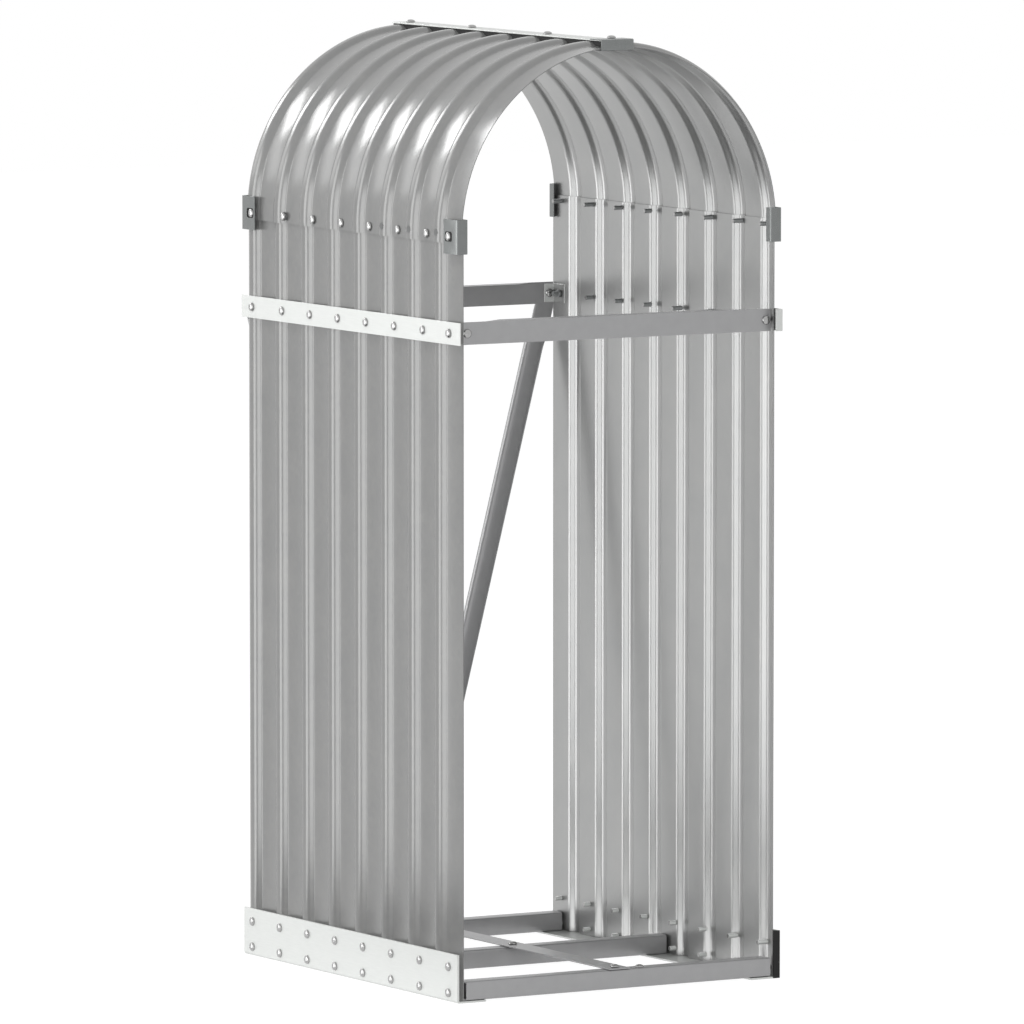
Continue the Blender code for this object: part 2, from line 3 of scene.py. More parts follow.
import bmesh
import bpy
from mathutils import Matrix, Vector


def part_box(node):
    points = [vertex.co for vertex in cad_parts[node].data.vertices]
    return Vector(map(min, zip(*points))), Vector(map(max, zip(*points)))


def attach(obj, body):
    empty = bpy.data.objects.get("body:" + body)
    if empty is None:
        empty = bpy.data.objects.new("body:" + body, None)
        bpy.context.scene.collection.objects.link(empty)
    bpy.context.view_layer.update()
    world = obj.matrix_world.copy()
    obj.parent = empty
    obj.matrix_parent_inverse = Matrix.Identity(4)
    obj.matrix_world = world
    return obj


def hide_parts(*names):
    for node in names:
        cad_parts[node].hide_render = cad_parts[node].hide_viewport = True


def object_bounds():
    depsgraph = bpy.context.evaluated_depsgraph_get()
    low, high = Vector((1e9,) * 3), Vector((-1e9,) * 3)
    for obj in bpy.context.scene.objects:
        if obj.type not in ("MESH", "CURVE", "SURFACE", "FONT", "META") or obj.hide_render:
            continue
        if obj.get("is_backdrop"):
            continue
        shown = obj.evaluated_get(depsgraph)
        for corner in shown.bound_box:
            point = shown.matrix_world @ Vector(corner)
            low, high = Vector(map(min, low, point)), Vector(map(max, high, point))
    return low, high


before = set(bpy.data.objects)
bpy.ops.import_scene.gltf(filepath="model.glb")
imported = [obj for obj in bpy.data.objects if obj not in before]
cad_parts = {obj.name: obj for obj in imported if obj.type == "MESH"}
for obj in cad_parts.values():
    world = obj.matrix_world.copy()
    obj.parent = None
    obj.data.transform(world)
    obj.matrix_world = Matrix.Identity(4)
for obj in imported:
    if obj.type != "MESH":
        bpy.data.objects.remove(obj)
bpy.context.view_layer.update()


# Camera
# The rack is seen from its front left corner, about 30 degrees round from the front and a little above,
# with a long lens. The middle of the sheets stands a little in front of the middle of the footprint.

panel_low, panel_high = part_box("left_side_panel")
sheet_middle = (panel_low.y + panel_high.y) / 2
camera_azimuth = math.radians(30.441)
camera_drop = math.radians(5.366)
camera_distance = 11.861
look_height = 0.4925
frame_right = 0.00264          # the picture's middle lies this far to the right of the rack's
frame_below = 0.00635          # and this far below it
look = Vector((
    math.sin(camera_azimuth) * math.cos(camera_drop),
    math.cos(camera_azimuth) * math.cos(camera_drop),
    -math.sin(camera_drop)))
camera_right = look.cross(Vector((0, 0, 1))).normalized()
camera_up = camera_right.cross(look)
target = Vector((0, sheet_middle, look_height))
eye = target - camera_distance * look
aim = target + frame_right * camera_right - frame_below * camera_up


def new_object(name, data):
    made = bpy.data.objects.new(name, data)
    bpy.context.scene.collection.objects.link(made)
    return made


camera_data = bpy.data.cameras.new("studio_camera")
camera_data.lens = 392.42
camera_data.sensor_width = 36
camera_data.clip_end = 60
camera = new_object("studio_camera", camera_data)
camera.location = eye
camera.rotation_euler = (aim - eye).to_track_quat("-Z", "Y").to_euler()
bpy.context.scene.camera = camera
bpy.context.scene.view_settings.view_transform = "Standard"


# Studio floor, white surround and lamps
# A pale floor runs out to a white surround, as in a catalogue photograph on white. Camera, mirror and
# see-through rays meet plain white, and the floor keeps a faint shadow under the rack.

def linear(channel):
    """Linear value of one sRGB channel between 0 and 1."""
    if channel <= 0.04045:
        return channel / 12.92
    return ((channel + 0.055) / 1.055) ** 2.4


def colour(code):
    """Linear colour of an sRGB hex code."""
    return tuple(linear(int(code[i:i + 2], 16) / 255) for i in (0, 2, 4)) + (1,)


def add_node(tree, kind, settings=None, links=None):
    """Add a node, give it its settings and unlinked values, and link its inputs to other nodes' outputs."""
    node = tree.nodes.new(kind)
    for name, value in (settings or {}).items():
        if isinstance(name, int) or name in node.inputs:
            node.inputs[name].default_value = value
        else:
            setattr(node, name, value)
    for name, output in (links or {}).items():
        tree.links.new(output, node.inputs[name])
    return node


def seen_or_mirrored(tree):
    """1 for camera, mirror and see-through rays, 0 for the rays that light a surface."""
    path = add_node(tree, "ShaderNodeLightPath")
    either = add_node(
        tree, "ShaderNodeMath", {"operation": "ADD"},
        {0: path.outputs["Is Camera Ray"], 1: path.outputs["Is Glossy Ray"]})
    return add_node(
        tree, "ShaderNodeMath", {"operation": "ADD", "use_clamp": True},
        {0: either.outputs[0], 1: path.outputs["Is Transmission Ray"]}).outputs[0]


world = bpy.data.worlds.new("white_surround")
world.use_nodes = True
bpy.context.scene.world = world
sky = world.node_tree
sky.nodes.clear()
fill_light = add_node(sky, "ShaderNodeBackground", {"Color": colour("FFFFFF"), "Strength": 0.33})
white_wall = add_node(sky, "ShaderNodeBackground", {"Color": colour("FFFFFF"), "Strength": 1.0})
surround = add_node(
    sky, "ShaderNodeMixShader", None,
    {0: seen_or_mirrored(sky), 1: fill_light.outputs[0], 2: white_wall.outputs[0]})
add_node(sky, "ShaderNodeOutputWorld", None, {0: surround.outputs[0]})

floor_paint = bpy.data.materials.new("matt_white_floor")
floor_paint.use_nodes = True
tree = floor_paint.node_tree
tree.nodes.clear()
matt = add_node(tree, "ShaderNodeBsdfDiffuse", {"Color": colour("E4E4E4")})
shadow_part = add_node(tree, "ShaderNodeBsdfDiffuse", {"Color": colour("8A8A8A")})
glow = add_node(tree, "ShaderNodeEmission", {"Color": colour("FFFFFF"), "Strength": 0.93})
seen_floor = add_node(tree, "ShaderNodeAddShader", None, {0: shadow_part.outputs[0], 1: glow.outputs[0]})
either_floor = add_node(
    tree, "ShaderNodeMixShader", None,
    {0: seen_or_mirrored(tree), 1: matt.outputs[0], 2: seen_floor.outputs[0]})
add_node(tree, "ShaderNodeOutputMaterial", None, {0: either_floor.outputs[0]})


def rectangle(u_low, u_high, v_low, v_high):
    return [(u_low, v_low), (u_high, v_low), (u_high, v_high), (u_low, v_high)]


def flat_sheet(name, outline, height, material):
    """One flat face of the studio, level with the rack's foot or nearly so."""
    mesh = bpy.data.meshes.new(name)
    mesh.from_pydata([(x, y, height) for x, y in outline], [], [(0, 1, 2, 3)])
    mesh.materials.append(material)
    return new_object(name, mesh)


floor_half = 12
floor_height = -0.0002
studio_floor = flat_sheet(
    "studio_floor", rectangle(-floor_half, floor_half, -floor_half, floor_half), floor_height, floor_paint)
studio_floor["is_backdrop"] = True


def add_lamp(name, place, towards, width, tall, watts, mirrored=True):
    lamp = bpy.data.lights.new(name, "AREA")
    lamp.shape = "RECTANGLE"
    lamp.size = width
    lamp.size_y = tall
    lamp.energy = watts
    holder = new_object(name, lamp)
    holder.location = place
    holder.rotation_euler = (Vector(towards) - Vector(place)).to_track_quat("-Z", "Y").to_euler()
    holder.visible_glossy = mirrored
    return holder


# Two tall softboxes, on the left and behind, draw the soft lines on the ribs, and two small ones above and
# behind draw those on the arch. The softboxes in front and on top only fill, and don't show in the metal.
softbox_distance = 5.0


def beside_rack(azimuth_degrees, height):
    """A softbox's place round the rack. The azimuth runs from the back towards the left."""
    turn = math.radians(azimuth_degrees)
    return (-softbox_distance * math.sin(turn), softbox_distance * math.cos(turn), height)


left_softbox = add_lamp(
    "softbox_at_96_degrees", beside_rack(96, 0.5), (0, 0, 0.5), width=2.1, tall=3.0, watts=58)
back_softbox = add_lamp(
    "softbox_at_59_degrees", beside_rack(59, 0.9), (0, 0, 0.9), width=2.3, tall=4.0, watts=84)
front_softbox = add_lamp(
    "front_softbox", (-1.1, -4.5, 1.0), (0, 0, 0.5), width=2.4, tall=2.4, watts=70, mirrored=False)
add_lamp("arch_softbox", (-0.86, 2.75, 2.18), (0, 0, 0.93), width=0.72, tall=0.70, watts=12.0)
add_lamp("lower_arch_softbox", (-1.42, 2.75, 1.62), (0, 0, 0.85), width=0.8, tall=0.9, watts=3.3)
add_lamp("top_softbox", (-1.2, -0.3, 2.6), (-0.1, 0, 0.9), width=1.2, tall=1.2, watts=20, mirrored=False)

# The three large softboxes shine past the pieces in this collection, which is filled once they are made, so
# that the inside is lit as evenly as the outside.
shone_past = bpy.data.collections.new("pieces_the_softboxes_shine_past")
for lamp in (left_softbox, back_softbox, front_softbox):
    lamp.light_linking.blocker_collection = shone_past

# A black mat lies on the floor to the left of the rack, outside the picture. It gives the domed heads of
# the bolts their dark lower edge.
mat_cloth = bpy.data.materials.new("black_mat")
mat_cloth.use_nodes = True
tree = mat_cloth.node_tree
tree.nodes.clear()
weave = add_node(tree, "ShaderNodeBsdfDiffuse", {"Color": colour("101010")})
add_node(tree, "ShaderNodeOutputMaterial", None, {0: weave.outputs[0]})
mat_height = 0.0001
floor_mat = flat_sheet("floor_mat", rectangle(-1.0, -0.4, -0.8, 0.42), mat_height, mat_cloth)
floor_mat.visible_camera = False
floor_mat.visible_diffuse = False
floor_mat.visible_shadow = False
floor_mat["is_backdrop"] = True


# Corrugated sheets
# Two upright side panels and two roof sheets, cold-rolled steel 0.8 mm thick with eight rounded ribs, dip
# coated with zinc and skin-passed smooth. The roof sheets are the same sheet rolled to a quarter circle.

sheet_thickness = 0.0008
rib_count = 8
rib_pitch = 0.0565
rib_inset = 0.014              # sheet's edge to the middle of the first rib
rib_height = 0.0047
rib_base_half = 0.0138         # half the width of a rib at its foot
rib_crest_half = 0.0018        # and of the flat along its crest
outer_bends = (0.15, 0.70)     # shares of a flank that bend at its foot and at its shoulder, outer face
inner_bends = (0.48, 0.48)     # the same, inner face
flank_steps = 12
arch_steps = 56
upright_steps = 8
panel_overlap = 0.005          # side panel above the centre of the arch
roof_offset = 0.0017           # flats of the roof sheets outside those of the side panels
roof_drop = 0.0085             # straight end of the roof sheets below the centre of the arch
crown_joint_gap = 0.001
LEFT = -1
RIGHT = 1
SIDE_NAMES = {LEFT: "left", RIGHT: "right"}

half_depth = (panel_high.y - panel_low.y) / 2
valley_reach = -panel_low.x - rib_height
panel_bottom = panel_low.z
panel_top = panel_high.z
arch_centre_height = panel_top - panel_overlap
roof_valley_radius = valley_reach + roof_offset


def rib_centres(side):
    first = half_depth - rib_inset
    return [-side * (first - rib_pitch * index) for index in range(rib_count)]


def flank(share, bends):
    """Height of a flank with rounded ends, from 0 at its foot to 1 at its shoulder."""
    foot, shoulder = bends
    steepest = 1 / (1 - (foot + shoulder) / 2)
    if share < foot:
        return steepest * share * share / (2 * foot)
    if share > 1 - shoulder:
        return 1 - steepest * (1 - share) ** 2 / (2 * shoulder)
    return steepest * (share - foot / 2)


def rise(side, y, bends):
    """Height of a sheet's face over its flats at a place along its depth."""
    off = min(abs(y - centre) for centre in rib_centres(side))
    share = (rib_base_half - off) / (rib_base_half - rib_crest_half)
    return rib_height * flank(min(max(share, 0), 1), bends)


def sheet_profile(side):
    """Places along the depth of a sheet, each with the rises of its outer and its inner face."""
    places = {-half_depth, half_depth}
    for centre in rib_centres(side):
        offs = [
            rib_crest_half + (rib_base_half - rib_crest_half) * step / flank_steps
            for step in range(flank_steps + 1)]
        for off in offs:
            places.update(place for place in (centre - off, centre + off) if abs(place) < half_depth)
    return [
        (place, rise(side, place, outer_bends), rise(side, place, inner_bends) - sheet_thickness)
        for place in sorted(places)]


def finish_piece(piece, material, nodes=()):
    """Give a piece its material, if it has none, its body and the nodes that it stands for."""
    if not piece.data.materials:
        piece.data.materials.append(material)
    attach(piece, "root")
    if nodes:
        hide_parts(*nodes)
    return piece


def shade(mesh, crease_degrees=38):
    mesh.shade_smooth()
    mesh.set_sharp_from_angle(angle=math.radians(crease_degrees))


def new_metal(name, code, roughness, metallic):
    """A material with one metal shader, ready for its own pattern."""
    metal = bpy.data.materials.new(name)
    metal.use_nodes = True
    shader = metal.node_tree.nodes["Principled BSDF"]
    shader.inputs["Base Color"].default_value = colour(code)
    shader.inputs["Roughness"].default_value = roughness
    shader.inputs["Metallic"].default_value = metallic
    return metal, metal.node_tree, shader


# Skin-passed galvanised steel: an even satin grey with a barely visible spangle of 6 mm and wider clouds.
spangle_size = 0.006
coil_clouds = 0.035
sheet_metal, tree, shader = new_metal("skin_passed_galvanised_steel", "828282", 0.22, 0.26)
place = add_node(tree, "ShaderNodeTexCoord")
spangle = add_node(
    tree, "ShaderNodeTexVoronoi", {"Scale": 1 / spangle_size}, {"Vector": place.outputs["Object"]})
clouds = add_node(
    tree, "ShaderNodeTexNoise", {"Scale": 1 / coil_clouds, "Detail": 3.0},
    {"Vector": place.outputs["Object"]})
both = add_node(
    tree, "ShaderNodeMath", {"operation": "MULTIPLY_ADD", 1: 0.35},
    {0: spangle.outputs["Color"], 2: clouds.outputs["Fac"]})
tone = add_node(
    tree, "ShaderNodeMix", {"data_type": "RGBA", 6: colour("797A7A"), 7: colour("838382")},
    {0: both.outputs[0]})
tree.links.new(tone.outputs[2], shader.inputs["Base Color"])
gloss = add_node(
    tree, "ShaderNodeMapRange", {"From Min": 0.3, "From Max": 1.0, "To Min": 0.19, "To Max": 0.22},
    {"Value": both.outputs[0]})
tree.links.new(gloss.outputs[0], shader.inputs["Roughness"])


def clouded_metal(name, dark, light, cloud_size, detail, metallic, roughness, roughest=None):
    """A metal with soft clouds between two tones, which vary the gloss too if a roughest value is given."""
    metal, tree, shader = new_metal(name, light, roughness, metallic)
    place = add_node(tree, "ShaderNodeTexCoord")
    clouds = add_node(
        tree, "ShaderNodeTexNoise", {"Scale": 1 / cloud_size, "Detail": detail},
        {"Vector": place.outputs["Object"]})
    tone = add_node(
        tree, "ShaderNodeMix", {"data_type": "RGBA", 6: colour(dark), 7: colour(light)},
        {0: clouds.outputs["Fac"]})
    tree.links.new(tone.outputs[2], shader.inputs["Base Color"])
    if roughest:
        gloss = add_node(
            tree, "ShaderNodeMapRange", {"To Min": roughness, "To Max": roughest},
            {"Value": clouds.outputs["Fac"]})
        tree.links.new(gloss.outputs[0], shader.inputs["Roughness"])
    return metal


# The inner face of the sheets is painted brighter and glossier than the outer, standing in for the light
# inside.
painted_bright_inner_metal = clouded_metal(
    "inner_face_of_galvanised_steel_painted_brighter", "989999", "A2A2A1", cloud_size=coil_clouds, detail=3.0,
    metallic=0.76, roughness=0.28)


def sheet_mesh(name, side, rows):
    """Corrugated sheet through rows, with its inner face painted brighter.

    Each row turns a rise over the flats into a distance from the middle plane and a height.
    """
    bm = bmesh.new()
    rims = []
    for face_index in (0, 1):
        grid = []
        for row in rows:
            line = []
            for y, *rises in sheet_profile(side):
                reach, height = row(rises[face_index])
                line.append(bm.verts.new((side * reach, sheet_middle + y, height)))
            grid.append(line)
        for lower, upper in zip(grid, grid[1:]):
            for index in range(len(lower) - 1):
                patch = bm.faces.new((lower[index], lower[index + 1], upper[index + 1], upper[index]))
                patch.material_index = face_index
        front_edge = [line[0] for line in grid]
        back_edge = [line[-1] for line in grid[::-1]]
        rims.append(front_edge + grid[-1][1:-1] + back_edge + grid[0][-2:0:-1])
    outer_rim, inner_rim = rims
    for index in range(len(outer_rim)):
        after = (index + 1) % len(outer_rim)
        bm.faces.new((outer_rim[index], outer_rim[after], inner_rim[after], inner_rim[index]))
    bmesh.ops.recalc_face_normals(bm, faces=bm.faces)
    mesh = bpy.data.meshes.new(name)
    bm.to_mesh(mesh)
    bm.free()
    mesh.materials.append(sheet_metal)
    mesh.materials.append(painted_bright_inner_metal)
    shade(mesh, crease_degrees=20)
    return mesh


def straight_row(flat_reach, height):
    return lambda lift: (flat_reach + lift, height)


def arch_row(turn):
    return lambda lift: (
        (roof_valley_radius + lift) * math.cos(turn),
        arch_centre_height + (roof_valley_radius + lift) * math.sin(turn))


crown_turn = math.pi / 2 - crown_joint_gap / 2 / roof_valley_radius
panel_heights = [
    panel_bottom + (panel_top - panel_bottom) * step / upright_steps for step in range(upright_steps + 1)]
for side in (LEFT, RIGHT):
    name = SIDE_NAMES[side] + "_panel_sheet"
    rows = [straight_row(valley_reach, height) for height in panel_heights]
    panel = new_object(name, sheet_mesh(name, side, rows))
    finish_piece(panel, sheet_metal, [SIDE_NAMES[side] + "_side_panel"])
    name = SIDE_NAMES[side] + "_arch_sheet"
    rows = [straight_row(roof_valley_radius, arch_centre_height - roof_drop)]
    rows += [arch_row(crown_turn * step / arch_steps) for step in range(arch_steps + 1)]
    roof = new_object(name, sheet_mesh(name, side, rows))
    finish_piece(roof, sheet_metal, [SIDE_NAMES[side] + "_roof_sheet"])


# Base skirts, mid side bars and crown bar
# Flat galvanised strips, sheared and folded, lighter than the sheets. The skirts are folded inwards at the
# floor; the side bars and the crown bar are plain strips. Their sheared edges are slightly rounded.

# Skin-passed strip: the lightest finish here, satin, with fine rolling lines along it, 1.2 mm apart.
rolling_pitch = 0.0012
bright_zinc, tree, shader = new_metal("bright_galvanised_strip", "D6D8D6", 0.38, 0.4)
place = add_node(tree, "ShaderNodeTexCoord")
stretch = add_node(
    tree, "ShaderNodeMapping", {"Scale": (1, 0.08, 1)}, {"Vector": place.outputs["Object"]})
rolling = add_node(
    tree, "ShaderNodeTexNoise", {"Scale": 1 / rolling_pitch, "Detail": 2.0},
    {"Vector": stretch.outputs[0]})
tone = add_node(
    tree, "ShaderNodeMix", {"data_type": "RGBA", 6: colour("CCCECC"), 7: colour("D6D8D6")},
    {0: rolling.outputs["Fac"]})
tree.links.new(tone.outputs[2], shader.inputs["Base Color"])
gloss = add_node(
    tree, "ShaderNodeMapRange", {"To Min": 0.34, "To Max": 0.44}, {"Value": rolling.outputs["Fac"]})
tree.links.new(gloss.outputs[0], shader.inputs["Roughness"])


def loft_mesh(name, sections):
    """Closed body through sections of the same number of points, with flat ends."""
    bm = bmesh.new()
    rings = [[bm.verts.new(point) for point in section] for section in sections]
    for lower, upper in zip(rings, rings[1:]):
        for index in range(len(lower)):
            after = (index + 1) % len(lower)
            bm.faces.new((lower[index], lower[after], upper[after], upper[index]))
    bm.faces.new(rings[0])
    bm.faces.new(rings[-1])
    bmesh.ops.recalc_face_normals(bm, faces=bm.faces)
    mesh = bpy.data.meshes.new(name)
    bm.to_mesh(mesh)
    bm.free()
    shade(mesh)
    return mesh


def soften(piece, width, segments=2):
    """Round a piece's sheared edges."""
    edge = piece.modifiers.new("sheared edge", "BEVEL")
    edge.width = width
    edge.segments = segments
    edge.limit_method = "ANGLE"
    edge.angle_limit = math.radians(40)
    edge.harden_normals = True


def along_y(outline, low, high):
    """Sections of an outline in X and Z between two places along the depth."""
    return [[(x, y, z) for x, z in outline] for y in (low, high)]


def along_x(outline, low, high):
    """Sections of an outline in Y and Z between two places across the rack."""
    return [[(x, y, z) for y, z in outline] for x in (low, high)]


def along_z(outline, low, high):
    """Sections of an outline in X and Y between two heights."""
    return [[(x, y, z) for x, y in outline] for z in (low, high)]


def quarter_bend(corner_u, corner_v, inward_u, inward_v, radius, steps):
    """Points of the bend that rounds a corner, from the face along V to the face along U."""
    points = []
    for step in range(steps + 1):
        turn = math.pi / 2 * step / steps
        points.append((
            corner_u + inward_u * radius * (1 - math.cos(turn)),
            corner_v + inward_v * radius * (1 - math.sin(turn))))
    return points


sheared_edge = 0.0003


def flat_strip(name, node, material):
    """A plain strip from front to back in the place of its node."""
    low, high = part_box(node)
    outline = rectangle(low.x, high.x, low.z, high.z)
    strip = new_object(name, loft_mesh(name, along_y(outline, low.y, high.y)))
    soften(strip, sheared_edge)
    finish_piece(strip, material, [node])


skirt_thickness = 0.0025
skirt_flange_thickness = 0.002
skirt_bend = 0.0030
skirt_bend_steps = 6
for side in (LEFT, RIGHT):
    node = SIDE_NAMES[side] + "_base_skirt"
    low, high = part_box(node)
    outer_x, toe_x = (low.x, high.x) if side == LEFT else (high.x, low.x)
    upright_in = outer_x - side * skirt_thickness
    outline = [(upright_in, high.z), (outer_x, high.z)]
    outline += quarter_bend(outer_x, 0, -side, 1, skirt_bend, skirt_bend_steps)
    outline += [(toe_x, 0), (toe_x, skirt_flange_thickness), (upright_in, skirt_flange_thickness)]
    name = SIDE_NAMES[side] + "_skirt_plate"
    skirt = new_object(name, loft_mesh(name, along_y(outline, low.y, high.y)))
    soften(skirt, sheared_edge)
    finish_piece(skirt, bright_zinc, [node])
    flat_strip(
        SIDE_NAMES[side] + "_ring_strip", SIDE_NAMES[side] + "_mid_bar", bright_zinc)
flat_strip("crown_strip", "crown_bar", bright_zinc)


# Base rails and centre strip
# Three square steel tubes across the base, 20 mm with a 1.5 mm wall, open at their ends, and a flat strip
# from front to back on top of them. Grey, satin zinc.

# Zinc on drawn profiles: a medium satin grey with clouds of 12 mm.
grey_zinc = clouded_metal(
    "satin_galvanised_profile", "9B9B9C", "A5A5A6", cloud_size=0.012, detail=4.0, metallic=0.5,
    roughness=0.32, roughest=0.40)


def rounded_rectangle(u_low, u_high, v_low, v_high, radius, corner_steps=4):
    corners = [
        (u_high - radius, v_high - radius, 0), (u_low + radius, v_high - radius, 1),
        (u_low + radius, v_low + radius, 2), (u_high - radius, v_low + radius, 3)]
    outline = []
    for u, v, quarter in corners:
        for step in range(corner_steps + 1):
            turn = math.pi / 2 * (quarter + step / corner_steps)
            outline.append((u + radius * math.cos(turn), v + radius * math.sin(turn)))
    return outline


def tube_mesh(name, outer, inner):
    """Open tube: outer and inner sections, each at both ends."""
    bm = bmesh.new()
    loops = [[bm.verts.new(point) for point in section] for section in (*outer, *inner)]
    outer_low, outer_high, inner_low, inner_high = loops
    for first, second in (
            (outer_low, outer_high), (outer_high, inner_high),
            (inner_high, inner_low), (inner_low, outer_low)):
        for index in range(len(first)):
            after = (index + 1) % len(first)
            bm.faces.new((first[index], first[after], second[after], second[index]))
    bmesh.ops.recalc_face_normals(bm, faces=bm.faces)
    mesh = bpy.data.meshes.new(name)
    bm.to_mesh(mesh)
    bm.free()
    shade(mesh)
    return mesh


rail_wall = 0.0015
rail_corner = 0.0022
for node in ("front_base_rail", "middle_base_rail", "back_base_rail"):
    low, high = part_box(node)
    outer = rounded_rectangle(low.y, high.y, low.z, high.z, rail_corner)
    inner = rounded_rectangle(
        low.y + rail_wall, high.y - rail_wall, low.z + rail_wall, high.z - rail_wall,
        rail_corner - rail_wall)
    name = node.replace("base_rail", "square_tube")
    rail = new_object(name, tube_mesh(name, along_x(outer, low.x, high.x), along_x(inner, low.x, high.x)))
    finish_piece(rail, grey_zinc, [node])
flat_strip("floor_strip", "base_centre_strip", grey_zinc)


# Cross bars of the mid ring and the corner angles
# Angle strips across the front and back at the height of the side bars, with the top flange cut away at a
# slant near the ends, and a small folded angle inside each corner that joins them to the side panels.

strip_thickness = 0.0015
flange_start = 0.029           # bar's end to where the slant begins
flange_slant = 0.026
no_flange = 0.0001             # share of the flange's width before the slant
FRONT = -1
BACK = 1
END_NAMES = {FRONT: "front", BACK: "back"}
for end in (FRONT, BACK):
    node = END_NAMES[end] + "_mid_bar"
    low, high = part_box(node)
    face, lip = (low.y, high.y) if end == FRONT else (high.y, low.y)
    web_inner = face - end * strip_thickness
    under = high.z - strip_thickness
    half_length = (high.x - low.x) / 2
    sections = []
    for inset, share in ((0, no_flange), (flange_start, no_flange), (flange_start + flange_slant, 1)):
        x = inset - half_length
        reach = web_inner + (lip - web_inner) * share
        sections.append([
            (x, face, low.z), (x, face, high.z), (x, reach, high.z), (x, reach, under),
            (x, web_inner, under), (x, web_inner, low.z)])
    sections += [[(-x, y, z) for x, y, z in section] for section in sections[::-1]]
    name = END_NAMES[end] + "_cross_strip"
    bar = new_object(name, loft_mesh(name, sections))
    finish_piece(bar, grey_zinc, [node])

# Painted light: each corner angle is one folded strip, but its faces that look across the rack take the
# sheet's inner finish, painted as bright as the sheet beside them, and the others bright zinc, lightened
# against their shade.
for end in (FRONT, BACK):
    for side in (LEFT, RIGHT):
        corner = f"{END_NAMES[end]}_{SIDE_NAMES[side]}"
        low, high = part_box(corner + "_corner_angle")
        wall_x, lug_x = (low.x, high.x) if side == LEFT else (high.x, low.x)
        lug_y, leg_y = (low.y, high.y) if end == FRONT else (high.y, low.y)
        wall_in = wall_x - side * strip_thickness
        lug_in = lug_y - end * strip_thickness
        outline = [
            (wall_x, lug_y), (lug_x, lug_y), (lug_x, lug_in), (wall_in, lug_in), (wall_in, leg_y),
            (wall_x, leg_y)]
        name = corner + "_folded_angle"
        angle = new_object(name, loft_mesh(name, along_z(outline, low.z, high.z)))
        angle.data.materials.append(bright_zinc)
        angle.data.materials.append(painted_bright_inner_metal)
        for face in angle.data.polygons:
            face.material_index = 1 if abs(face.normal.x) > 0.9 else 0
        soften(angle, sheared_edge)
        finish_piece(angle, bright_zinc, [corner + "_corner_angle"])


# Corner clips and crown clip
# Small U-shaped clips, folded from 1.2 mm strip, that grip the raw sheet edges at the lap joints and over
# the crown. The corner clips have a rounded window through which the last screw of the joint is driven.

# Dull zinc on spring strip: darker than the bars and half glossy, with clouds of 8 mm.
clip_steel = clouded_metal(
    "dull_zinc_clip_steel", "767978", "818383", cloud_size=0.008, detail=4.0, metallic=0.82, roughness=0.25)

clip_thickness = 0.0012
clip_inner_leg = 0.010
clip_bend = 0.0018
clip_bend_steps = 4
clip_edge = 0.00015
joint_screws = 8               # along each lap joint, from front to back
window_reach = 0.0088          # from the middle of the screw to the end of the window at the sheet's edge
window_back = 0.0058           # from the middle of the screw to the window's other end
window_half_height = 0.0052
window_corner = 0.0030
window_cut = 0.003             # reach of the cut on both sides of the clip's face

# Black rubber, painted shade: a soft pad that shows in the window of each corner clip, round the head of
# the screw, black where the window is in shade. It is dull, with a moulded grain of 0.6 mm.
grain_size = 0.0006
black_shade_rubber, tree, shader = new_metal("moulded_black_rubber", "0A0A0A", 0.75, 0.0)
place = add_node(tree, "ShaderNodeTexCoord")
grain = add_node(
    tree, "ShaderNodeTexNoise", {"Scale": 1 / grain_size}, {"Vector": place.outputs["Object"]})
dent = add_node(
    tree, "ShaderNodeBump", {"Strength": 0.3, "Distance": 0.0001}, {"Height": grain.outputs["Fac"]})
tree.links.new(dent.outputs[0], shader.inputs["Normal"])
pad_drop = 0.0024              # the screw's dome stands this far out of the pad
pad_thickness = 0.0018
pad_margin = 0.0002            # gap between the pad and the window


def middle(node):
    low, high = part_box(node)
    return (low + high) / 2


def settle(piece):
    """Make a piece's modifiers part of its mesh, and shade it anew."""
    settled = bpy.data.meshes.new_from_object(piece.evaluated_get(bpy.context.evaluated_depsgraph_get()))
    piece.modifiers.clear()
    piece.data = settled
    shade(settled)


def cut_out(piece, sections):
    """Cut a prism out of a piece for good."""
    tool = new_object(piece.name + "_tool", loft_mesh(piece.name + "_tool", sections))
    hole = piece.modifiers.new("hole", "BOOLEAN")
    hole.operation = "DIFFERENCE"
    hole.solver = "EXACT"
    hole.object = tool
    settle(piece)
    bpy.data.objects.remove(tool)


